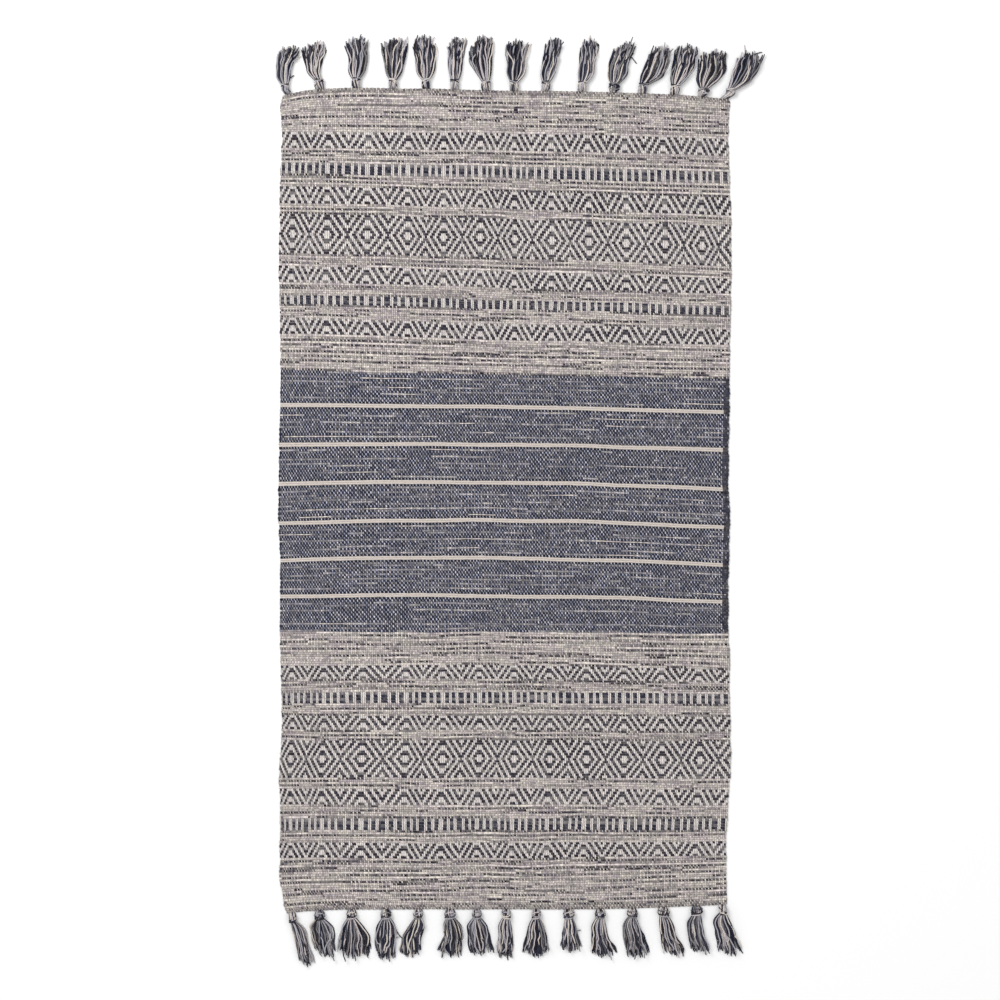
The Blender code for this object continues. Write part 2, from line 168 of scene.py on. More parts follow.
# a strand that has left its tassel, as places across the rug, out from its edge and up
Stray = namedtuple("Stray", "end number navy points")
STRAYS = [Stray(*row) for row in (
    ("top", 1, 1, ((-344, 16, 5), (-335, 26, 3), (-331, 30, 2))),
    ("top", 1, 0, ((-343, 16, 6), (-338, 40, 4), (-328, 58, 2), (-322, 70, 2))),
    ("top", 1, 0, ((-342, 16, 6), (-336, 45, 4), (-324, 56, 2), (-317, 62, 2))),
    ("top", 2, 1, ((-290, 16, 6), (-292, 42, 5), (-288, 54, 3), (-275, 61, 2))),
    ("top", 2, 0, ((-290, 16, 6), (-294, 40, 5), (-286, 56, 4), (-276, 52, 2))),
    ("top", 7, 1, ((-35, 13, 5), (-45, 34, 4), (-55, 50, 2), (-56, 66, 1))),
    ("top", 7, 0, ((-36, 13, 5), (-47, 30, 4), (-56, 46, 2), (-51, 62, 1))),
    ("top", 11, 1, ((188, 62, 3), (198, 55, 2), (205, 46, 2), (211, 41, 1))),
    ("top", 15, 0, ((366, 40, 3), (374, 60, 2), (376, 75, 1), (374, 88, 1))),
    ("top", 15, 1, ((372, 50, 3), (384, 66, 2), (395, 71, 1), (402, 72, 1))),
    ("bottom", 3, 1, ((-237, 16, 5), (-222, 30, 3), (-212, 50, 2), (-211, 66, 1))),
    ("bottom", 3, 0, ((-237, 16, 6), (-230, 44, 4), (-224, 68, 2), (-214, 66, 1))),
    ("bottom", 4, 1, ((-184, 16, 5), (-172, 30, 3), (-164, 42, 2), (-151, 52, 1))),
    ("bottom", 4, 0, ((-184, 16, 5), (-170, 34, 3), (-172, 46, 2), (-160, 40, 1))),
    ("bottom", 10, 0, ((102, 30, 4), (110, 34, 3), (116, 33, 2), (121, 31, 2))),
)]

# Yarn colours, sRGB
CREAM = "#e8dfd3"
CREAM_PINK = "#dfd2ce"
CREAM_CLEAN = "#ece5e2"
CORD = "#cfc5bd"
CREAM_GREY = "#a9a5a4"
COOL_GREY = "#a2a6bb"
NAVY = "#191d30"
NAVY_WORN = "#34374a"
CHARCOAL = "#2f2529"
YARN_TONES = ("#1e2238", "#2b2629", "#313341", "#4a4854", "#ddd4cb", "#c9c0c2", "#aeacb3", "#868385")


def linear(hex_colour):
    """A colour given as sRGB hex, as the linear red, green, blue and alpha that nodes take."""
    parts = [int(hex_colour[i:i + 2], 16) / 255.0 for i in (1, 3, 5)]
    return [p / 12.92 if p <= 0.04045 else ((p + 0.055) / 1.055) ** 2.4 for p in parts] + [1.0]


def write(mesh, name, kind, domain, values):
    """A named attribute on a mesh."""
    field = {"FLOAT_COLOR": "color", "FLOAT_VECTOR": "vector"}.get(kind, "value")
    mesh.attributes.new(name, kind, domain).data.foreach_set(field, np.ravel(values))


def new_object(name, data):
    """An object in the scene with that mesh, lamp or camera."""
    thing = bpy.data.objects.new(name, data)
    bpy.context.scene.collection.objects.link(thing)
    return thing


def source(value):
    """A node's first output in use. Anything else stays as it is."""
    if isinstance(value, bpy.types.Node):
        return next(output for output in value.outputs if output.enabled)
    return value


def add(tree, kind, inputs=(), operation=None, **settings):
    """A new node with its settings, and its inputs, by name or in order, set to values or linked."""
    node = tree.nodes.new(kind)
    if operation:
        settings["operation"] = operation
    for name, value in settings.items():
        setattr(node, name, value)
    if not isinstance(inputs, dict):
        inputs = dict(zip([i for i, socket in enumerate(node.inputs) if socket.enabled], inputs))
    for name, value in inputs.items():
        if isinstance(source(value), bpy.types.NodeSocket):
            tree.links.new(source(value), node.inputs[name])
        else:
            node.inputs[name].default_value = value
    return node


# The cloth's outline

def read_table(rows, key, column, at):
    """A table's column at places along its key, on straight lines."""
    places = [getattr(row, key) for row in rows]
    values = [getattr(row, column) for row in rows]
    return np.interp(at, places, values)


def line_height(middle, x):
    """The height, at x, of the pick line that crosses the cloth's middle at that height."""
    left = read_table(DRIFTS, "y", "left", middle)
    right = read_table(DRIFTS, "y", "right", middle)
    bend = (left / DRIFT_LEFT_X - right / DRIFT_RIGHT_X) / (DRIFT_LEFT_X - DRIFT_RIGHT_X)
    slope = left / DRIFT_LEFT_X - bend * DRIFT_LEFT_X
    drift = slope * x + bend * x * x
    above = middle > 0
    last_band = np.where(above, BANDS[-1].top, BANDS[0].foot)
    end_middle = np.where(above, END_MIDDLE["top"], END_MIDDLE["bottom"])
    blend = np.clip((middle - last_band) / (end_middle - last_band), 0.0, 1.0)
    edge = np.where(above, read_table(ENDS, "x", "top", x), read_table(ENDS, "x", "bottom", x))
    return middle + (1.0 - blend) * drift + blend * (edge - end_middle)


def cloth_place(middle, share):
    """Where a share of the width along a pick line lies, as x and y."""
    guess = (2.0 * share - 1.0) * read_table(SELVEDGES, "y", "right", middle)
    y = line_height(middle, guess)
    left = read_table(SELVEDGES, "y", "left", y)
    right = read_table(SELVEDGES, "y", "right", y)
    x = left + (right - left) * share
    return x, line_height(middle, x)


# The draft

def soft_noise(dice, shape, cells):
    """Smooth noise from 0 to 1 on a grid of that shape, with that many cells each way."""
    lattice = dice.random([count + 1 for count in cells])
    for axis, (size, count) in enumerate(zip(shape, cells)):
        at = np.linspace(0, count, size)
        low = np.minimum(at.astype(int), count - 1)
        step = at - low
        step = step * step * (3.0 - 2.0 * step)
        step = step[:, None] if axis == 0 else step[None, :]
        below = np.take(lattice, low, axis=axis)
        above = np.take(lattice, low + 1, axis=axis)
        lattice = below + (above - below) * step
    return lattice


Pick = namedtuple("Pick", "kind step count middle")


def zones():
    """The cloth's zones from the bottom edge up, as (kind, foot, top)."""
    marks = []
    for band in BANDS:
        low, high = BAND_SINK[band.name]
        marks.append((band.foot - low, band.top - high, band.name))
    for stripe in range(STRIPE_COUNT):
        centre = STRIPE_FIRST + stripe * STRIPE_PITCH
        marks.append((centre - CORD_HALF_WIDTH, centre + CORD_HALF_WIDTH, "stripe"))
    found = []
    at = END_MIDDLE["bottom"]
    last = (END_MIDDLE["top"], END_MIDDLE["top"], None)
    for foot, top, kind in sorted(marks) + [last]:
        for cut in (MIDDLE_FOOT, MIDDLE_TOP):
            if at < cut < foot:
                found.append(("light" if cut == MIDDLE_FOOT else "dark", at, cut))
                at = cut
        if foot > at:
            found.append(("dark" if MIDDLE_FOOT <= at < MIDDLE_TOP else "light", at, foot))
        if kind:
            found.append((kind, foot, top))
        at = top
    return found


def pick_list():
    """Every pick of weft from the bottom edge up."""
    picks = []
    for kind, foot, top in zones():
        count = BAND_PICKS.get(kind, max(2, round((top - foot) / PLAIN_PITCH)))
        for step in range(count):
            picks.append(Pick(kind, step, count, foot + (top - foot) * (step + 0.5) / count))
    return picks


def weft_on_top(pick, row, point):
    """Which ends one pick of weft passes over. point is each end's distance from a twill point."""
    # steps run downward, as the bands are read from the far end of the rug
    down = pick.count - 1 - pick.step
    # the turning end and the one on each side of it hang on the same shaft
    point = np.maximum(point, 1)
    if pick.kind == "chevrons":
        return (point - down + 1) % SHAFTS < 2
    if pick.kind == "diamonds":
        return (point + abs(down - pick.count // 2) + 1) % SHAFTS < 2
    if pick.kind == "ticks":
        return (point + 2) % SHAFTS < 2
    if pick.kind == "stripe":
        return np.ones_like(point, dtype=bool)
    return (np.arange(len(point)) + row) % 2 == 0


# a length of yarn along a pick: how navy it is, how thick, whether it covers the warp, how common.
# Each list goes from light to dark.
Run = namedtuple("Run", "navy thick covers chance")
LIGHT_RUNS = [Run(*row) for row in (
    (0.03, 1.00, 1, 0.05), (0.00, 1.05, 0, 0.26), (0.10, 1.00, 0, 0.18), (0.32, 0.95, 0, 0.12),
    (0.62, 0.92, 0, 0.12), (0.94, 0.95, 0, 0.24), (0.80, 0.60, 1, 0.03),
)]
DARK_RUNS = [Run(*row) for row in (
    (0.08, 0.55, 1, 0.02), (0.15, 0.70, 0, 0.04), (0.55, 0.80, 0, 0.09), (0.80, 0.95, 0, 0.16),
    (0.98, 1.10, 0, 0.32), (1.00, 1.28, 0, 0.37),
)]
BAND_RUNS = [Run(*row) for row in (
    (0.78, 0.55, 0, 0.16), (0.92, 0.78, 0, 0.24), (1.00, 1.02, 0, 0.30), (1.00, 1.24, 0, 0.30),
)]
# how many ends one length of yarn crosses, and how far a pick keeps to its own kind of yarn
LIGHT_LENGTH = 18.0
DARK_LENGTH = 14.0
BAND_LENGTH = 14.0
KEEPS = 0.3
# how far a pick differs from the picks beside it
CONTRAST = 0.36
STITCHED_PICKS = 2
CORD_THICK = 1.0
CORD_HALF_WIDTH = 3.0
SELVEDGE_ENDS = {"left": 1, "right": 3}
# how far the navy yarn is worn to brown
BROWN = {"dark": 0.0, "ticks": 0.3, "light": 0.6, "stripe": 0.6, "chevrons": 0.85, "diamonds": 0.85}
# a dark slub in the top hem: how high, at which end, and how far it reaches each way
Slub = namedtuple("Slub", "y end high wide")
SLUB = Slub(614.7, 141, 3.4, 2)


def yarn_runs(dice, shape, length, runs):
    """Lengths of uneven yarn along each pick, as maps of navy, thickness and cover."""
    change = dice.random(shape) < 1.0 / length
    step = np.cumsum(change, axis=1) + (shape[1] + 1) * np.arange(shape[0])[:, None]
    drawn = dice.normal(size=shape[0] * (shape[1] + 1))[step]
    own = dice.normal(size=(shape[0], 1))
    raw = math.sqrt(1.0 - KEEPS) * drawn + math.sqrt(KEEPS) * own
    level = raw - CONTRAST * (np.roll(raw, 1, axis=0) + np.roll(raw, -1, axis=0))
    rank = level.ravel().argsort().argsort().reshape(shape) / level.size
    kind = np.searchsorted(np.cumsum([run.chance for run in runs])[:-1], rank)
    return [np.array([getattr(run, name) for run in runs])[kind] for name in ("navy", "thick", "covers")]


def yarn_colours(picks, kind, fleck, dice):
    """For each crossing: the colour of a pale yarn there, of a navy one and of the warp."""
    shape = fleck.shape
    cream, pink, clean, grey, cool, deep, worn, coal, cord = (
        np.array(linear(c)[:3]) for c in
        (CREAM, CREAM_PINK, CREAM_CLEAN, CREAM_GREY, COOL_GREY, NAVY, NAVY_WORN, CHARCOAL, CORD))
    hue = soft_noise(dice, shape, (shape[0] // 2, 44))[..., None]
    dull = dice.random(shape)[..., None] ** 1.5
    pale = cream + (pink - cream) * hue + (grey - cream) * 0.9 * dull
    pale *= 0.91 + 0.3 * dice.random(shape)[..., None]
    pale = np.where((kind == "stripe")[..., None], cord, pale)
    in_band = np.isin(kind, ("chevrons", "diamonds", "ticks"))[..., None]
    pale = np.where(in_band, pale + (clean - pale) * 0.65, pale)
    # among the navy picks the warp is cooler and darker: partly navy lint and dye on it, partly painted
    # shade where it lies deep between the navy picks
    lint_and_shade = 0.58 + 0.8 * dice.random(shape)[..., None] ** 1.4
    navy_tinged_and_shaded = (pale + (cool - pale) * (0.55 + 0.45 * dull)) * lint_and_shade
    warp = np.where((kind == "dark")[..., None], navy_tinged_and_shaded, pale)
    blue = deep + (worn - deep) * (soft_noise(dice, shape, (shape[0], 60)) * fleck)[..., None]
    brown = np.array([BROWN[pick.kind] for pick in picks])[:, None] * fleck
    blue = blue + (coal - blue) * brown[..., None]
    return pale, blue, warp


def draft(picks, dice):
    """For each crossing: whether the weft is on top, what colour shows, how thick it is, and the ground.

    A weft on top has a thickness above zero, a warp one below zero. The ground is the warp's colour
    where it lies under a weft, darkened by painted shade among the navy picks.
    """
    shape = (len(picks), ENDS_ACROSS)
    ends = np.arange(ENDS_ACROSS)
    half_turn = (ends - FIRST_TURN) % (2 * HALF_REPEAT)
    point = np.minimum(half_turn, 2 * HALF_REPEAT - half_turn)
    weft_up = np.array([weft_on_top(pick, row, point) for row, pick in enumerate(picks)])
    kind = np.array([pick.kind for pick in picks])[:, None]
    fleck = dice.random(shape)
    light = yarn_runs(dice, shape, LIGHT_LENGTH, LIGHT_RUNS)
    dark = yarn_runs(dice, shape, DARK_LENGTH, DARK_RUNS)
    band = yarn_runs(dice, shape, BAND_LENGTH, BAND_RUNS)
    navy, thick, covers = (np.where(kind == "light", of_light, np.where(kind == "dark", of_dark, of_band))
                           for of_light, of_dark, of_band in zip(light, dark, band))
    navy = np.clip(navy + 0.16 * (fleck - 0.6), 0.0, 1.0)
    # in the light ground a dark yarn is unevenly dyed, and floats over a warp here and there
    in_light = kind == "light"
    floats = in_light & (navy > 0.5) & (np.roll(fleck, 3, axis=1) > 0.76)
    navy = np.where(in_light & ~floats, navy * (0.74 + 0.4 * np.roll(fleck, 7, axis=1)), navy)
    thick = np.where(kind == "ticks", np.maximum(1.08 * thick, 0.92), thick)
    # a black pick lies on each side of a cream cord
    beside_cord = np.zeros((shape[0], 1), dtype=bool)
    beside_cord[1:-1] = (kind[1:-1] == "dark") & ((kind[2:] == "stripe") | (kind[:-2] == "stripe"))
    navy = np.where(kind == "stripe", 0.14 * fleck ** 2, navy)
    thick = np.where(kind == "stripe", CORD_THICK + 0.35 * fleck, thick)
    navy = np.where(beside_cord, 1.0, navy)
    covers = np.where(beside_cord, 0, covers)
    # the last picks at each end are sewn over with dark thread
    edge_pick = np.minimum(np.arange(shape[0]), np.arange(shape[0])[::-1])[:, None] < STITCHED_PICKS
    navy = np.where(edge_pick, 0.3 + 0.6 * fleck, navy)
    weft_up = weft_up | (covers > 0) | floats
    # the navy yarn turns round the outer warps and hides them
    at_selvedge = (ends < SELVEDGE_ENDS["left"]) | (ends >= ENDS_ACROSS - SELVEDGE_ENDS["right"])
    at_selvedge = at_selvedge & ((kind == "stripe") | ((kind == "dark") & (fleck > 0.25)))
    weft_up = weft_up | at_selvedge
    navy = np.where(at_selvedge & (ends > ENDS_ACROSS // 2), 0.85 + 0.15 * fleck, navy)
    height = np.array([pick.middle for pick in picks])[:, None]
    slub = (abs(height - SLUB.y) < SLUB.high) & (abs(ends - SLUB.end) < SLUB.wide)
    navy = np.where(slub, 1.0, navy)
    weft_up = weft_up | slub
    pale, blue, warp = yarn_colours(picks, kind, fleck, dice)
    blue = np.where(beside_cord[..., None], 0.5 * blue, blue)
    weft = pale + (blue - pale) * navy[..., None]
    shown = np.where(weft_up[..., None], weft, warp)
    warp_thick = np.where(kind == "dark", -0.7 - 0.42 * fleck, -0.84 - 0.3 * fleck)
    warp_thick = np.where((kind == "ticks") | (kind == "light"), 0.84 * warp_thick, warp_thick)
    # painted shade: among the navy picks the warp under a weft is darkened further, deep between the picks
    ground = np.where((kind == "dark")[..., None], 0.3 * warp, warp)
    return weft_up, shown, np.where(weft_up, thick, warp_thick), ground


# The cloth as a mesh with one point at each crossing of warp and weft

# the face attributes that carry a face's four crossings
CORNERS = ("low_left", "low_right", "high_left", "high_right")
UNDERSIDE_NAVY = {"light": 0.2, "dark": 0.66, "stripe": 0.1, "chevrons": 0.45, "diamonds": 0.45,
                  "ticks": 0.45}
# the bake map: its margin, the top's size on it, and the underside's place and size
MAP_MARGIN = 0.004
TOP_MAP_SIZE = (0.716, 0.992)
UNDER_MAP_PLACE = (0.74, 0.004)
UNDER_MAP_SIZE = (0.255, 0.992)


def cloth_height(picks):
    """The cloth's thickness at each pick, from the part's raised bands and cords."""
    rows = []
    for band in BANDS:
        rows += [(band.foot, 0.0), (band.foot + BAND_SHOULDER, BAND_RISE)]
        rows += [(band.top - BAND_SHOULDER, BAND_RISE), (band.top, 0.0)]
    for stripe in range(STRIPE_COUNT):
        centre = STRIPE_FIRST + stripe * STRIPE_PITCH
        rows += [(centre + side * STRIPE_HALF_WIDTH, (1 - abs(side)) * STRIPE_RISE) for side in (-1, 0, 1)]
    rows.sort()
    middles = [pick.middle for pick in picks]
    return CLOTH_THICKNESS + np.interp(middles, [r[0] for r in rows], [r[1] for r in rows])


def cloth_points(picks, weft_up, dice):
    """The top's points as a grid of picks by ends, with a border line all round."""
    rows, ends = len(picks), ENDS_ACROSS
    middle = np.array([END_MIDDLE["bottom"]] + [pick.middle for pick in picks] + [END_MIDDLE["top"]])
    turning = [-0.5] + [FIRST_TURN + HALF_REPEAT * turn for turn in range(len(TURNS_TOP))] + [ends - 0.5]
    end_number = np.concatenate([[-0.5], np.arange(ends), [ends - 0.5]])
    at_top, at_bottom = (np.interp(end_number, turning, (0.0,) + places + (100.0,)) / 100.0
                         for places in (TURNS_TOP, TURNS_BOTTOM))
    toward_top = np.clip(0.5 + 0.5 * middle / TURNS_READ_AT, 0.0, 1.0)[:, None]
    share = at_bottom + (at_top - at_bottom) * toward_top
    x, y = cloth_place(middle[:, None], share)
    inside = np.sin(math.pi * share)
    shape = x.shape
    along = np.minimum(1.0, 0.15 * np.minimum(np.arange(shape[0]), np.arange(shape[0])[::-1]))[:, None]
    y += 2.2 * (soft_noise(dice, shape, (30, 9)) - 0.5) * along
    x += 1.2 * (soft_noise(dice, shape, (50, 40)) - 0.5) * inside
    # each pick and each warp also wanders on its own
    wander = np.array([0.8] + [1.8 if pick.kind == "light" else 0.8 for pick in picks] + [0.8])[:, None]
    y += wander * (soft_noise(dice, shape, (shape[0] - 1, 60)) - 0.5) * along * inside
    x += 0.9 * (soft_noise(dice, shape, (90, shape[1] - 1)) - 0.5) * inside
    z = np.full(shape, EDGE_THICKNESS)
    relief = np.where(weft_up, WEFT_UP, WARP_UP)
    base = cloth_height(picks)[:, None]
    ripple = 0.5 * (soft_noise(dice, weft_up.shape, (36, 20)) - 0.5)
    z[1:-1, 1:-1] = base + relief + ripple
    roll = np.minimum(1.0, np.minimum(share, 1.0 - share) * CLOTH_WIDTH / EDGE_ROLL)
    z[1:-1, :] = EDGE_THICKNESS + (z[1:-1, :] - EDGE_THICKNESS) * roll[1:-1, :]
    # the weft turns round the outer ends, and the last pick lies in small scallops
    turn = np.where(np.arange(shape[0]) % 2 == 0, 0.8, -0.2)[:, None]
    loops = turn + 2.2 * (soft_noise(dice, (shape[0], 2), (110, 1)) - 0.5)
    x[:, 0] -= loops[:, 0]
    x[:, -1] += loops[::-1, 1]
    scallop = 0.5 * np.sin(np.arange(shape[1]) * math.pi / 1.5)
    y[0, :] -= scallop
    y[-1, :] += scallop
    return x, y, z


def four_crossings(values):
    """For each face of the top, the values at its four corners, in the order of CORNERS."""
    padded = np.pad(values, [(1, 1), (1, 1)] + [(0, 0)] * (values.ndim - 2), mode="edge")
    return padded[:-1, :-1], padded[:-1, 1:], padded[1:, :-1], padded[1:, 1:]


def build_cloth(dice, material):
    """The woven sheet."""
    picks = pick_list()
    weft_up, colour, thick, warp = draft(picks, dice)
    x, y, z = cloth_points(picks, weft_up, dice)
    rows, columns = x.shape
    top = np.stack([x, y, z], axis=-1).reshape(-1, 3)
    number = np.arange(rows * columns).reshape(rows, columns)
    rim = np.concatenate([number[0, :-1], number[:-1, -1], number[-1, :0:-1], number[:0:-1, 0]])
    foot = top[rim] * (1.0, 1.0, 0.0)
    points = np.concatenate([top, foot]) * MM
    quads = np.stack([number[:-1, :-1], number[:-1, 1:], number[1:, 1:], number[1:, :-1]], axis=-1)
    faces = quads.reshape(-1, 4).tolist()
    below = len(top) + np.arange(len(rim))
    ahead = np.roll(np.arange(len(rim)), -1)
    faces += np.stack([below, below[ahead], rim[ahead], rim], axis=-1).tolist()
    strips, strip_kinds = underside_strips(picks, rows, columns, below)
    faces += strips
    mesh = bpy.data.meshes.new("woven_cloth")
    mesh.from_pydata(points.tolist(), [], faces)
    paint_cloth(mesh, rows, columns, number, colour, thick, warp, rim, strip_kinds)
    cloth = new_object("woven_cloth", mesh)
    mesh.materials.append(material)
    mesh.shade_smooth()
    return cloth


def underside_strips(picks, rows, columns, below):
    """The underside as one flat face for each zone, and the kind of each zone."""
    changes = [i for i in range(1, len(picks)) if picks[i].kind != picks[i - 1].kind]
    cuts = [0] + [i + 1 for i in changes] + [rows - 1]
    right_start = columns - 1
    left_start = 2 * (columns - 1) + rows - 1
    count = len(below)
    strips, kinds = [], []
    for low, high in zip(cuts, cuts[1:]):
        right = [right_start + i for i in range(low, high + 1)]
        left = [(left_start + rows - 1 - i) % count for i in range(high, low - 1, -1)]
        ring = right + left
        if high == rows - 1:
            far = list(range(right_start + rows, left_start))
            ring = right + far + left
        if low == 0:
            ring += list(range(1, columns - 1))
        strips.append([int(below[i]) for i in reversed(ring)])
        kinds.append(picks[min(low, len(picks) - 1)].kind)
    return strips, kinds


def paint_cloth(mesh, rows, columns, number, colour, thick, warp, rim, strip_kinds):
    """Writes the yarn colours on the faces, and the two maps of the cloth."""
    crossing = np.concatenate([colour, thick[..., None]], axis=-1)
    ground = np.concatenate([warp, np.ones_like(thick)[..., None]], axis=-1)
    tops = (rows - 1) * (columns - 1)
    walls = len(rim)
    cell = np.minimum(np.arange(rows), rows - 2)[:, None] * (columns - 1)
    cell = cell + np.minimum(np.arange(columns), columns - 2)
    beside = cell.ravel()[rim]
    for name, values in zip(CORNERS + ("ground",), four_crossings(crossing) + four_crossings(ground)[:1]):
        flat = values.reshape(-1, 4)
        under = np.zeros((len(strip_kinds), 4))
        under[:, 0] = [UNDERSIDE_NAVY[kind] for kind in strip_kinds]
        write(mesh, name, "FLOAT_COLOR", "FACE", np.concatenate([flat, flat[beside], under]))
    side = np.concatenate([np.zeros(tops + walls), np.ones(len(strip_kinds))])
    write(mesh, "underside", "FLOAT", "FACE", side)
    corner_point = np.empty(len(mesh.loops), dtype=int)
    mesh.loops.foreach_get("vertex_index", corner_point)
    grid_points = rows * columns
    row_of = np.concatenate([np.arange(grid_points) // columns, rim // columns])
    column_of = np.concatenate([np.arange(grid_points) % columns, rim % columns])
    thread = np.stack([column_of, row_of], axis=-1).astype(float)
    # a point below the rim lies half a thread further out, so that a wall has a width on the map
    out_x = np.where(column_of == 0, -0.5, np.where(column_of == columns - 1, 0.5, 0.0))
    out_y = np.where(row_of == 0, -0.5, np.where(row_of == rows - 1, 0.5, 0.0))
    thread[grid_points:] += np.stack([out_x, out_y], axis=-1)[grid_points:]
    weave = mesh.uv_layers.new(name="weave")
    weave.uv.foreach_set("vector", thread[corner_point].astype(np.float32).ravel())
    place = np.empty(len(mesh.vertices) * 3)
    mesh.vertices.foreach_get("co", place)
    place = place.reshape(-1, 3)[:, :2]
    spread = (place - place.min(axis=0)) / np.ptp(place, axis=0)
    face_of = np.repeat(np.arange(len(mesh.polygons)), [len(p.vertices) for p in mesh.polygons])
    on_top = (face_of < tops + walls)[:, None]
    top_map = MAP_MARGIN + thread[corner_point] / (columns - 1, rows - 1) * TOP_MAP_SIZE
    under_map = UNDER_MAP_PLACE + spread[corner_point] * UNDER_MAP_SIZE
    bake = mesh.uv_layers.new(name="OFBake")
    bake.uv.foreach_set("vector", np.where(on_top, top_map, under_map).astype(np.float32).ravel())


# Materials

MATH = "ShaderNodeMath"
VECTOR = "ShaderNodeVectorMath"
MIX = "ShaderNodeMix"
RANGE = "ShaderNodeMapRange"
NOISE = "ShaderNodeTexNoise"
ATTRIBUTE = "ShaderNodeAttribute"
AXES = "ShaderNodeSeparateXYZ"

# half the width of a warp and of a pick where they are on top, in threads
WARP_HALF = 0.36
PICK_HALF = 0.395
# how deep a warp and a pick dive at the end of their floats, and how dark the painted shade between yarns
# is
WARP_DIVE = 1.9
PICK_DIVE = 1.3
GAP_SHADE = 0.45
# how far a warp's points lean, and how far a yarn's edges waver, in threads
WARP_LEAN = 0.2
WAVER = 0.4
# one turn of a tassel yarn's two plies, in metres
PLY_TURN = 0.005


def cotton(name):
    """Undressed cotton, with only a faint sheen of fibres: the material, and what adds its nodes."""
    material = bpy.data.materials.new(name)
    material.use_nodes = True
    shader = material.node_tree.nodes["Principled BSDF"]
    for socket, value in (("Roughness", 0.95), ("Specular IOR Level", 0.12),
                          ("Sheen Weight", 0.04), ("Sheen Roughness", 0.6)):
        shader.inputs[socket].default_value = value
    return material, partial(add, material.node_tree)


def dress(material, colour, height, strength, distance):
    """Gives a cotton its colour, and its bump from a height."""
    tree = material.node_tree
    bump = add(tree, "ShaderNodeBump", {"Strength": strength, "Distance": distance, "Height": height})
    for value, socket in ((colour, "Base Color"), (bump, "Normal")):
        tree.links.new(source(value), tree.nodes["Principled BSDF"].inputs[socket])
    return material


def lit(put, colour, shade, fibre, darkest, palest):
    """A yarn's colour under its shade, with flecks where its fibres are dark and pale."""
    fleck = put(RANGE, {"Value": fibre, "From Min": 0.25, "From Max": 0.75, "To Min": darkest,
                        "To Max": palest})
    return put(VECTOR, (colour, put(MATH, (shade, fleck), "MULTIPLY")), "SCALE")


def chosen(put, crossings, right, upper, data_type):
    """Of the four crossings of a face, the one on the side that right and upper give."""
    low, high = (put(MIX, (right, *pair), data_type=data_type) for pair in (crossings[:2], crossings[2:]))
    return put(MIX, (upper, low, high), data_type=data_type)


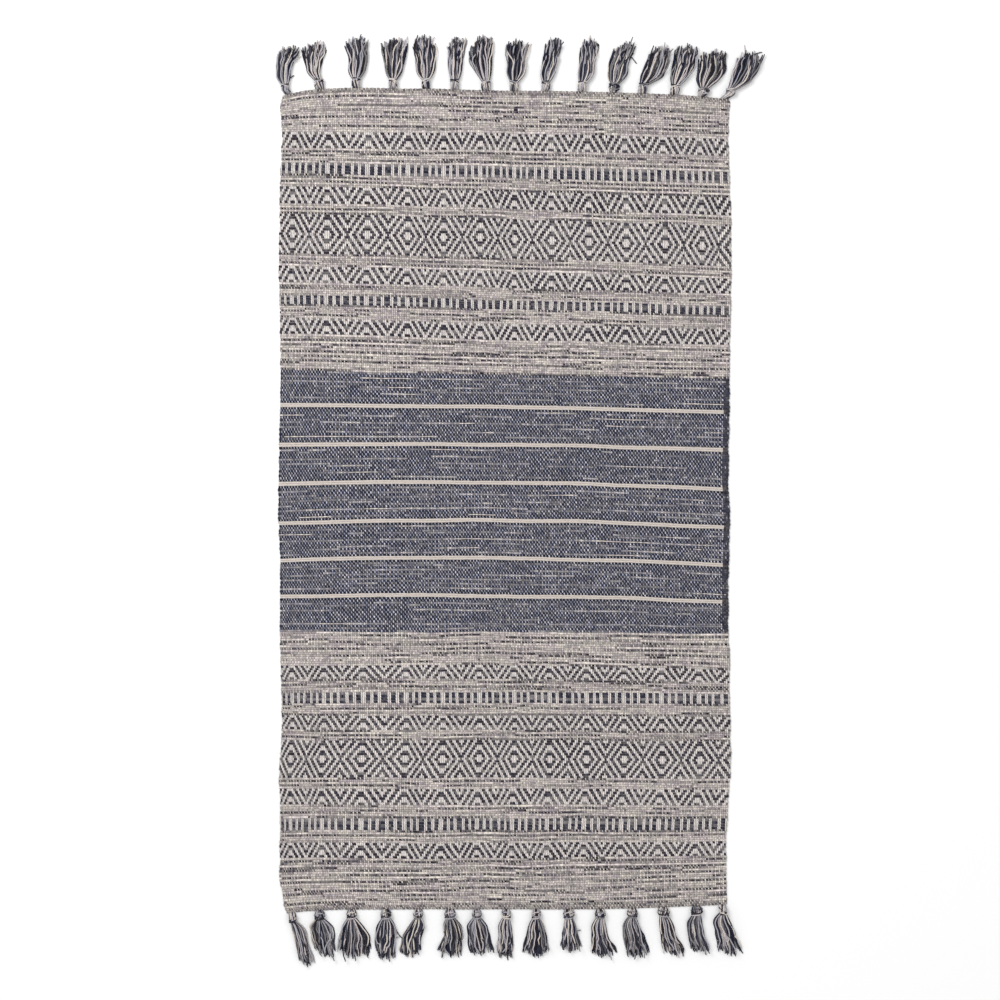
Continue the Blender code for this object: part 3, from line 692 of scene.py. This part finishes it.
def woven_cotton():
    """Hand-spun cotton in a plain and twill weave: soft, matt, fuzzy, with painted shade in the gaps
    between yarns and toward the edges of each yarn's round back.

    The warps lie 2.65 mm apart and the picks about 3.5 mm, which just shows in the render.
    """
    material, put = cotton("woven_cotton_yarn")
    thread = put("ShaderNodeUVMap", uv_map="weave")
    place = put("ShaderNodeTexCoord").outputs["Object"]
    # yarns aren't quite straight: their edges waver
    waver = put(NOISE, {"Vector": place, "Scale": 380.0, "Detail": 2.0}).outputs["Color"]
    waver = put(VECTOR, (waver, (0.5, 0.5, 0.5)), "SUBTRACT")
    waver = put(VECTOR, (waver, WAVER), "SCALE")
    within = put(VECTOR, (thread,), "FRACTION")
    within = put(VECTOR, (within, waver), "ADD")
    axes = put(AXES, (within,)).outputs
    right, upper = (put(MATH, (axes[i], 0.5), "GREATER_THAN") for i in (0, 1))
    left, lower = (put(MATH, (1.0, side), "SUBTRACT") for side in (right, upper))
    aside = put(MATH, (axes[0], right), "SUBTRACT")
    ahead = put(MATH, (axes[1], upper), "SUBTRACT")
    # the twist of the warp makes each of its points lean
    leaning = put(MATH, (ahead, WARP_LEAN, aside), "MULTIPLY_ADD")
    off_x, off_y = (put(MATH, (offset,), "ABSOLUTE") for offset in (leaning, ahead))
    corners = [put(ATTRIBUTE, attribute_name=name).outputs for name in CORNERS]
    colours = [corner["Color"] for corner in corners]
    sizes = [corner["Alpha"] for corner in corners]
    ground = put(ATTRIBUTE, attribute_name="ground").outputs["Color"]
    # this yarn, the one beside it and the one along it
    places = ((right, upper), (left, upper), (right, lower))
    own, beside, along = (chosen(put, colours, x, y, "RGBA") for x, y in places)
    size, *sizes_near = (chosen(put, sizes, x, y, "FLOAT") for x, y in places)
    weft, weft_beside, weft_along = (put(MATH, (value, 0.0), "GREATER_THAN")
                                     for value in (size, *sizes_near))
    # the upper yarn's round back: 0 in its middle, 1 at its edges and where it dives under the next
    thick = put(MATH, (size,), "ABSOLUTE")
    half = put(MATH, (thick, put(MIX, (weft, WARP_HALF, PICK_HALF))), "MULTIPLY")
    across = put(MATH, (put(MIX, (weft, off_x, off_y)), half), "DIVIDE")
    warp_beside = put(MATH, (1.0, weft_beside), "SUBTRACT")
    dives = put(MIX, (weft, weft_along, warp_beside))
    depth = put(MIX, (weft, WARP_DIVE, PICK_DIVE))
    dive = put(MATH, (put(MIX, (weft, off_y, off_x)), depth), "MULTIPLY")
    dive = put(MATH, (dive, dives), "MULTIPLY")
    dive = put(MATH, (dive, dive), "MULTIPLY")
    slope = put(MATH, (across, across, dive), "MULTIPLY_ADD")
    hidden = put(RANGE, {"Value": slope, "From Min": 0.75, "From Max": 1.3},
                 interpolation_type="SMOOTHSTEP")
    low_warp = put(MIX, (0.4, ground, along), data_type="RGBA")
    beneath = put(MIX, (weft, beside, low_warp), data_type="RGBA")
    beneath = put(VECTOR, (beneath, GAP_SHADE), "SCALE")
    yarn = put(MIX, (hidden, own, beneath), data_type="RGBA")
    height = put(MATH, (1.0, slope), "SUBTRACT", use_clamp=True)
    fibre = put(NOISE, {"Vector": place, "Scale": 900.0, "Detail": 3.0})
    shade = put(RANGE, {"Value": height, "To Min": 0.8, "To Max": 1.05})
    upside = lit(put, yarn, shade, fibre, 0.7, 1.25)
    # the underside: the same yarns in plain weave, drawn from the place alone
    squares = put(VECTOR, (place, (377.0, 290.0, 0.0)), "MULTIPLY")
    check = put("ShaderNodeTexChecker", {"Vector": squares, "Scale": 1.0}).outputs["Fac"]
    long_runs = put(VECTOR, (place, (9.0, 290.0, 0.0)), "MULTIPLY")
    runs = put(NOISE, {"Vector": long_runs, "Scale": 1.0, "Detail": 2.0})
    navy = put(MATH, (put("ShaderNodeSeparateColor", (colours[0],)), check, 0.1), "MULTIPLY_ADD")
    navy = put(MATH, (runs, 0.9, navy), "MULTIPLY_ADD")
    navy = put(RANGE, {"Value": navy, "From Min": 0.45, "From Max": 1.1})
    under = put(MIX, (navy, linear(CREAM), linear(NAVY)), data_type="RGBA")
    side = put(ATTRIBUTE, attribute_name="underside").outputs["Fac"]
    colour = put(MIX, (side, upside, under), data_type="RGBA")
    # each yarn's round back, and the fuzz of its fibres
    round_back = put(MATH, (fibre, 0.35, height), "MULTIPLY_ADD")
    return dress(material, colour, round_back, 0.8, 0.0007)


def tassel_cotton():
    """Loose two-ply cotton yarn: matt, with the slant of its twist and a fuzz of fibres."""
    material, put = cotton("plied_cotton_yarn")
    tone, along = (put(ATTRIBUTE, attribute_name=name).outputs["Fac"] for name in ("tone", "along"))
    around = put(ATTRIBUTE, attribute_name="around").outputs["Vector"]
    tones = put("ShaderNodeValToRGB", (tone,))
    tones.color_ramp.interpolation = "CONSTANT"
    stops = tones.color_ramp.elements
    while len(stops) < len(YARN_TONES):
        stops.new(0.5)
    for index, tint in enumerate(YARN_TONES):
        stops[index].position = index / len(YARN_TONES)
        stops[index].color = linear(tint)
    parts = put(AXES, (around,)).outputs
    angle = put(MATH, (parts[1], parts[0]), "ARCTAN2")
    turn = put(MATH, (along, 2.0 * math.pi / PLY_TURN), "MULTIPLY")
    twist = put(MATH, (angle, 2.0, turn), "MULTIPLY_ADD")
    ply = put(MATH, (twist,), "SINE")
    place = put("ShaderNodeTexCoord").outputs["Object"]
    fibre = put(NOISE, {"Vector": place, "Scale": 700.0, "Detail": 3.0})
    shade = put(RANGE, {"Value": ply, "From Min": -1.0, "To Min": 0.78, "To Max": 1.04})
    colour = lit(put, tones, shade, fibre, 0.8, 1.15)
    height = put(MATH, (fibre, 0.5, ply), "MULTIPLY_ADD")
    return dress(material, colour, height, 0.6, 0.0003)


# The tassels

STORE = "GeometryNodeStoreNamedAttribute"
# the tree's inputs: how many points and sides a yarn has, how far it waves and how often, how far
# its tip flares, and the least share of its length that it keeps
YARN_INPUTS = (
    ("Points on a yarn", "Int", 18),
    ("Sides", "Int", 6),
    ("Wave", "Float", 0.0056),
    ("Wave scale", "Float", 55.0),
    ("Flare", "Float", 0.0068),
    ("Shortest", "Float", 0.84),
    ("Seed", "Int", 1),
)
# what the points of guides and yarns carry
CARRIED = {
    "INT": ("yarns",),
    "FLOAT": ("freedom", "navy", "thick", "tone", "along"),
    "FLOAT_VECTOR": ("chance", "chance_more", "spread", "around"),
}


def yarn_tree(material):
    """Geometry nodes that turn guide lines into yarns: each guide becomes its number of yarns."""
    tree = bpy.data.node_groups.new("yarns_on_guides", "GeometryNodeTree")
    put = partial(add, tree)
    for in_out in ("INPUT", "OUTPUT"):
        tree.interface.new_socket("Geometry", in_out=in_out, socket_type="NodeSocketGeometry")
    for name, kind, value in YARN_INPUTS:
        socket = tree.interface.new_socket(name, in_out="INPUT", socket_type="NodeSocket" + kind)
        socket.default_value = value
    given = put("NodeGroupInput").outputs
    read = {name: put("GeometryNodeInputNamedAttribute", {"Name": name}, data_type=kind)
            for kind, names in CARRIED.items() for name in names}
    spline = put("GeometryNodeSplineParameter").outputs
    here = put("GeometryNodeInputPosition")
    curve = put("GeometryNodeMeshToCurve", (given["Geometry"],))
    curve = put("GeometryNodeCurveSplineType", (curve,), spline_type="CATMULL_ROM")
    curve = put("GeometryNodeResampleCurve", {"Curve": curve, "Count": given["Points on a yarn"]})
    curve = put("GeometryNodeDuplicateElements", {"Geometry": curve, "Amount": read["yarns"]},
                domain="SPLINE")
    # each yarn's own chance numbers
    number = put("GeometryNodeInputIndex")
    for name, seed_step in (("chance", 0.0), ("chance_more", 7.0)):
        seed = put(MATH, (given["Seed"], seed_step), "ADD")
        chance = put("FunctionNodeRandomValue", {"ID": number, "Seed": seed}, data_type="FLOAT_VECTOR")
        curve = put(STORE, {"Geometry": curve, "Name": name, "Value": chance},
                    data_type="FLOAT_VECTOR", domain="CURVE")
    more, freedom = read["chance_more"], read["freedom"]
    # places in the lock, then waves along the yarn, then a flare at its tip
    centred = put(VECTOR, (read["chance"], (0.5, 0.5, 0.5)), "SUBTRACT")
    aside = put(VECTOR, (centred, read["spread"]), "MULTIPLY")
    shifted = put(VECTOR, (more, 3.0), "SCALE")
    looked = put(VECTOR, (here, shifted), "ADD")
    noise = put(NOISE, {"Vector": looked, "Scale": given["Wave scale"], "Detail": 1.0}).outputs["Color"]
    noise = put(VECTOR, (noise, (0.5, 0.5, 0.5)), "SUBTRACT")
    amount = put(MATH, (given["Wave"], freedom), "MULTIPLY")
    wave = put(VECTOR, (noise, amount), "SCALE")
    late = put(MATH, (spline["Factor"], 5.0), "POWER")
    late = put(MATH, (late, given["Flare"]), "MULTIPLY")
    late = put(MATH, (late, freedom), "MULTIPLY")
    outward = put(VECTOR, (more, (0.5, 0.5, 0.6)), "SUBTRACT")
    flare = put(VECTOR, (outward, late), "SCALE")
    offset = aside
    for part in (wave, flare):
        offset = put(VECTOR, (offset, part), "ADD")
    moved = put(AXES, (put(VECTOR, (here, offset), "ADD"),)).outputs
    above = put(MATH, (moved[2], read["thick"]), "MAXIMUM")
    placed = put("ShaderNodeCombineXYZ", (moved[0], moved[1], above))
    curve = put("GeometryNodeSetPosition", {"Geometry": curve, "Position": placed})
    # tone: the share of navy yarns in the lock picks a navy or a cream, and chance picks which
    dice = put(AXES, (more,)).outputs
    pale = put(MATH, (dice[1], read["navy"]), "GREATER_THAN")
    tone = put(MATH, (dice[2], 0.49, 0.005), "MULTIPLY_ADD")
    tone = put(MATH, (pale, 0.5, tone), "MULTIPLY_ADD")
    for name, value, domain in (("tone", tone, "CURVE"), ("along", spline["Length"], "POINT")):
        curve = put(STORE, {"Geometry": curve, "Name": name, "Value": value},
                    data_type="FLOAT", domain=domain)
    # yarns end unevenly, but only where they are free
    cut = put(RANGE, {"Value": dice[0], "To Min": given["Shortest"], "To Max": 1.0})
    loose = put(MATH, (freedom, 0.01), "GREATER_THAN")
    curve = put("GeometryNodeTrimCurve", {"Curve": curve, "Selection": loose, "End": cut})
    thin = put(RANGE, {"Value": spline["Factor"], "From Min": 0.93, "To Min": 1.0, "To Max": 0.7})
    thin = put(MIX, (loose, 1.0, thin))
    radius = put(MATH, (read["thick"], thin), "MULTIPLY")
    ring = put("GeometryNodeCurvePrimitiveCircle", {"Resolution": given["Sides"], "Radius": 1.0})
    ring = put(STORE, {"Geometry": ring, "Name": "around", "Value": here},
               data_type="FLOAT_VECTOR", domain="POINT")
    curve = put("GeometryNodeSetCurveRadius", {"Curve": curve, "Radius": radius})
    body = put("GeometryNodeCurveToMesh", (curve, ring, radius, True))
    # the bake map: one column for each tone, the yarn's girth across it and its length up it
    column = put(MATH, (read["tone"], float(len(YARN_TONES))), "MULTIPLY")
    column = put(MATH, (column,), "FLOOR")
    column = put(MATH, (put(AXES, (read["around"],)), 0.42, column), "MULTIPLY_ADD")
    column = put(MATH, (column, 0.125, 0.0625), "MULTIPLY_ADD")
    up = put(MATH, (read["along"], 10.0, 0.01), "MULTIPLY_ADD")
    chart = put("ShaderNodeCombineXYZ", (column, up))
    body = put(STORE, {"Geometry": body, "Name": "OFBake", "Value": chart},
               data_type="FLOAT2", domain="CORNER")
    body = put("GeometryNodeSetShadeSmooth", (body,))
    body = put("GeometryNodeRealizeInstances", (body,))
    body = put("GeometryNodeSetMaterial", {"Geometry": body, "Material": material})
    put("NodeGroupOutput", (body,))
    return tree


# guides are drawn in millimetres: across the rug, out from its edge, and up
Guide = namedtuple("Guide", "points navy thick yarns spread freedom closed", defaults=(1, 0.0, 0.0, False))

YARN_RADIUS = 0.98
HEAD_YARNS = 16
HEAD_YARN_RADIUS = 1.1
WRAP_RADIUS = 1.0
# a knot's outline: distance out, share of the half girth, half height, height of its middle
Section = namedtuple("Section", "out wide high middle")
GATHERED_HEAD = [Section(*row) for row in (
    (0.4, 0.84, 0.9, 1.5), (2.8, 0.88, 3.2, 4.2), (6.0, 0.92, 4.7, 5.6),
    (9.5, 0.88, 4.7, 5.6), (12.2, 0.72, 4.2, 5.2), (14.2, 0.66, 3.8, 5.0),
)]
ROUND_HEAD = [Section(*row) for row in (
    (0.4, 0.62, 0.9, 1.5), (2.6, 0.86, 3.6, 4.4), (6.2, 0.98, 4.7, 5.6),
    (9.8, 0.82, 4.4, 5.4), (12.4, 0.56, 3.8, 5.0), (14.0, 0.52, 3.5, 4.8),
)]
# a knot this wide or wider, in mm, is a round one
ROUND_FROM_GIRTH = {"top": 17, "bottom": 14}
# turns of yarn over a knot: distance out, slant, bow, share of the half girth, how pale
Turn = namedtuple("Turn", "out slant bow wide pale")
GATHERED_TURNS = [Turn(*row) for row in (
    (7.6, 4.2, 1.2, 0.86, 0.6), (12.2, 2.3, 0.6, 0.86, 0.8), (13.6, -1.2, 0.3, 0.78, 0.3),
)]
ROUND_TURNS = [Turn(*row) for row in (
    (8.8, 0.8, -5.2, 0.92, 0.85), (7.4, -0.6, 3.2, 0.96, 0.3),
    (8.2, 4.4, -1.0, 0.9, 0.2), (12.9, 1.0, 0.6, 0.74, 0.9),
)]
TURN_STEPS = 14
TURN_MIDDLE = 5.6
TURN_HIGH = 4.8
# where the locks leave the knot
WRAP_OUT = 12.0
# the depth of a lock, in metres
LOCK_DEEP = 0.0017
Lockset = namedtuple("Lockset", "locks yarns low root spread")
LOCKSETS = (
    Lockset(locks=6, yarns=4, low=1.0, root=2.2, spread=1.0),
    Lockset(locks=6, yarns=3, low=2.9, root=4.6, spread=0.95),
    Lockset(locks=5, yarns=3, low=4.6, root=7.0, spread=0.8),
)
LOOSE_STRANDS = 9
# how much more or less navy a lock is than its tassel
LOCK_LEANS = (-0.45, -0.15, 0.0, 0.15, 0.25, 0.3)
GUIDE_STEPS = 9
FIRST_SEED = {"top": 40, "bottom": 80}


def end_height(end, x):
    """The height up the cloth of its end edge at x."""
    middle = np.array([END_MIDDLE[end]])
    return float(line_height(middle, np.array([x]))[0])


def head_guides(end, tassel, dice, navy):
    """Yarns gathered into the knot, the turns over it, and its filling."""
    is_round = tassel.girth >= ROUND_FROM_GIRTH[end]
    head = ROUND_HEAD if is_round else GATHERED_HEAD
    turns = ROUND_TURNS if is_round else GATHERED_TURNS
    half = 0.5 * tassel.girth

    def middle(out):
        """The knot leans from where the tassel leaves the cloth toward its own place."""
        return tassel.root + (tassel.knot - tassel.root) * min(1.0, out / KNOT_FROM_EDGE)

    guides = []
    lean = dice.uniform(0.6, 1.2) * dice.choice((-1.0, 1.0))
    for index in range(HEAD_YARNS):
        start = 2.0 * math.pi * (index + 0.3 * dice.random()) / HEAD_YARNS
        line = []
        for step, at in enumerate(head):
            angle = start + lean * step / len(head)
            wide = half * at.wide - 0.5 * HEAD_YARN_RADIUS
            up = at.middle + at.high * math.sin(angle)
            line.append((middle(at.out) + wide * math.cos(angle), at.out, up))
        guides.append(Guide(line, navy, HEAD_YARN_RADIUS))
    core = [(middle(at.out), at.out, at.middle) for at in head]
    filling = [0.86 * min(half * at.wide, at.high + 0.4) for at in head]
    guides.append(Guide(core, 0.9, filling))
    for turn in turns:
        slant = turn.slant * (1.0 if lean > 0 else -1.0)
        loop = []
        for step in range(TURN_STEPS):
            angle = 2.0 * math.pi * step / TURN_STEPS
            out = turn.out + slant * math.cos(angle) + turn.bow * math.sin(angle)
            wide = half * turn.wide + 0.2
            up = TURN_MIDDLE + TURN_HIGH * math.sin(angle)
            loop.append((middle(out) + wide * math.cos(angle), max(out, 1.6), up))
        guides.append(Guide(loop, 1.0 - turn.pale, WRAP_RADIUS, closed=True))
    return guides


def skirt_edges(tassel, out):
    """The tassel's left and right edges at a distance from the cloth's edge."""
    end = KNOT_FROM_EDGE + tassel.reach
    root = 0.36 * tassel.girth
    places = (WRAP_OUT, NEAR_OUT, MID_OUT, 0.87 * end, end)
    left = (tassel.knot - root, tassel.near_left, tassel.mid_left, tassel.tip_left, tassel.tip_left)
    right = (tassel.knot + root, tassel.near_right, tassel.mid_right, tassel.tip_right, tassel.tip_right)
    return float(np.interp(out, places, left)), float(np.interp(out, places, right))


def skirt_line(tassel, dice, share, low, root, wander):
    """One path from the knot to the tip, at a share of the half width that drifts and waves."""
    end = KNOT_FROM_EDGE + tassel.reach * (1.0 - 0.13 * share ** 2 - 0.05 * dice.random())
    drift = wander * dice.uniform(-1.0, 1.0)
    wave = 0.5 * wander * dice.random()
    phase, speed = dice.random(), dice.uniform(0.8, 1.9)
    line, half_widths = [], []
    for step in range(GUIDE_STEPS):
        t = step / (GUIDE_STEPS - 1)
        out = WRAP_OUT + (end - WRAP_OUT) * t
        left, right = skirt_edges(tassel, out)
        half = 0.5 * (right - left) - YARN_RADIUS
        here = share + drift * t * t + wave * t * math.sin(2.0 * math.pi * (speed * t + phase))
        here = min(max(here, -1.0), 1.0)
        sink = 1.0 - math.sin(0.5 * math.pi * min(1.0, t * 1.3))
        line.append((0.5 * (left + right) + here * half, out, low + (root - low) * sink))
        half_widths.append(half)
    return line, half_widths


def lock_guides(tassel, dice, navy):
    """The yarns beyond the knot, as locks that open out and sink to the floor."""
    guides = []
    for lockset in LOCKSETS:
        middle = (lockset.locks - 1) / 2.0
        leans = dice.permutation(LOCK_LEANS)
        for place in range(lockset.locks):
            share = (place - middle) / (middle + 0.6) * lockset.spread
            line, halves = skirt_line(tassel, dice, share, lockset.low, lockset.root, 0.24)
            widths = [1.7 * half / lockset.locks for half in halves]
            lock_navy = min(1.0, max(0.0, navy + leans[place]))
            guides.append(Guide(line, lock_navy, YARN_RADIUS, lockset.yarns, widths, 1.0))
    # single yarns that wander over the locks, two cream ones to a navy one
    for strand in range(LOOSE_STRANDS):
        share = (strand + dice.random()) / LOOSE_STRANDS * 1.8 - 0.9
        low = dice.uniform(5.0, 6.6)
        line, _ = skirt_line(tassel, dice, share, low, 7.6, 0.4)
        guides.append(Guide(line, float(strand % 3 == 1), 1.05 * YARN_RADIUS, freedom=2.0))
    return guides


def stray_guides(end, number):
    """This tassel's own loose strands."""
    return [Guide(stray.points, stray.navy, 0.8 * YARN_RADIUS, freedom=0.4)
            for stray in STRAYS if (stray.end, stray.number) == (end, number)]


def guide_object(name, guides, place):
    """Guide lines as a mesh of edges, with what each yarn needs written on its points."""
    points, edges, rows = [], [], []
    for guide in guides:
        first = len(points)
        count = len(guide.points)
        for index, (x, out, z) in enumerate(guide.points):
            points.append(place(x, out, z))
            thick, wide = (size[index] if isinstance(size, list) else size
                           for size in (guide.thick, guide.spread))
            # the waves begin beyond the knot
            loose = guide.freedom * min(1.0, 1.6 * index / count)
            rows.append((guide.yarns, wide * MM, loose, guide.navy, thick * MM))
        edges += [(first + i, first + i + 1) for i in range(count - 1)]
        if guide.closed:
            edges.append((first + count - 1, first))
    mesh = bpy.data.meshes.new(name)
    mesh.from_pydata(points, edges, [])
    table = np.array(rows)
    write(mesh, "yarns", "INT", "POINT", table[:, 0].astype(np.int32))
    spread = np.stack([table[:, 1], 0.0 * table[:, 1], LOCK_DEEP * (table[:, 1] > 0)], axis=-1)
    write(mesh, "spread", "FLOAT_VECTOR", "POINT", spread)
    for column, label in ((2, "freedom"), (3, "navy"), (4, "thick")):
        write(mesh, label, "FLOAT", "POINT", table[:, column].copy())
    return new_object(name, mesh)


def build_tassel(end, number, tassel, tree, dice):
    """One tassel of plied yarns that stands for its solid."""
    sign = END_SIGN[end]
    edge = end_height(end, tassel.root)

    def place(x, out, z):
        """A point of a guide in the rug's frame, in metres."""
        return (x * MM, (edge + sign * out) * MM, z * MM)

    navy = dice.uniform(0.64, 0.74)
    guides = head_guides(end, tassel, dice, 0.42 * navy)
    guides += lock_guides(tassel, dice, navy) + stray_guides(end, number)
    name = f"tassel_yarns_{end}_{number:02d}"
    thing = guide_object(name, guides, place)
    nodes = thing.modifiers.new("yarns", "NODES")
    nodes.node_group = tree
    sockets = {item.name: item.identifier for item in tree.interface.items_tree if item.in_out == "INPUT"}
    nodes[sockets["Seed"]] = number + FIRST_SEED[end]
    found = bpy.context.evaluated_depsgraph_get()
    mesh = bpy.data.meshes.new_from_object(thing.evaluated_get(found))
    guide_mesh = thing.data
    thing.modifiers.clear()
    thing.data = mesh
    bpy.data.meshes.remove(guide_mesh)
    mesh.name = name
    return thing


# The studio

# the photograph's frame is 1.566 m wide, and the rug's middle lies a little right of its centre
PIXEL = 1.566
FRAME_WIDTH = 1000 * PIXEL * MM
FRAME_CENTRE = ((500 - 505.0) * PIXEL * MM, (500.5 - 500) * PIXEL * MM)
CAMERA_HEIGHT = 4.0
# lamps: name, place, size and power
LAMPS = (("key", (-1.6, 1.5, 2.6), 1.6, 62.0), ("fill", (1.8, -1.2, 3.0), 3.0, 22.0))


def plain(name, hex_colour, roughness):
    """A plain painted surface for the floor."""
    material = bpy.data.materials.new(name)
    material.use_nodes = True
    shader = material.node_tree.nodes["Principled BSDF"]
    shader.inputs["Base Color"].default_value = linear(hex_colour)
    shader.inputs["Roughness"].default_value = roughness
    return material


def build_studio():
    """A pale floor, a soft key light and an even sky, and the camera straight above."""
    bpy.ops.mesh.primitive_plane_add(size=12.0, location=(0.0, 0.0, -0.0003))
    floor = bpy.context.object
    floor.name = "studio_floor"
    floor.data.materials.append(plain("matt_white_paint", "#f4f4f4", 0.9))
    world = bpy.data.worlds.new("soft_sky")
    world.use_nodes = True
    world.node_tree.nodes["Background"].inputs["Color"].default_value = (1.0, 1.0, 1.0, 1.0)
    world.node_tree.nodes["Background"].inputs["Strength"].default_value = 0.72
    bpy.context.scene.world = world
    for name, place, size, power in LAMPS:
        lamp = bpy.data.lights.new(name, "AREA")
        lamp.size = size
        lamp.energy = power
        thing = new_object(name, lamp)
        thing.location = place
        aim = -np.array(place)
        thing.rotation_euler = (math.atan2(math.hypot(aim[0], aim[1]), -aim[2]), 0.0,
                                math.atan2(aim[1], aim[0]) - math.pi / 2)
    camera = bpy.data.cameras.new("camera")
    camera.lens = 36.0 * CAMERA_HEIGHT / FRAME_WIDTH
    camera.clip_end = 50.0
    view = new_object("camera", camera)
    view.location = (*FRAME_CENTRE, CAMERA_HEIGHT)
    bpy.context.scene.camera = view
    bpy.context.scene.view_settings.view_transform = "Standard"


def main():
    """Builds the studio, the cloth and its tassels, hangs each piece on the root body and hides the part
    it stands for.
    """
    dice = np.random.default_rng(SEED)
    woven, plied = woven_cotton(), tassel_cotton()
    build_studio()
    cloth = build_cloth(dice, woven)
    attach(cloth, "root")
    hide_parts("rug_cloth")
    tree = yarn_tree(plied)
    for end, rows in TASSELS.items():
        for number, tassel in enumerate(rows, start=1):
            piece = build_tassel(end, number, tassel, tree, dice)
            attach(piece, "root")
            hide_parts(f"tassel_{end}_{number:02d}")


main()
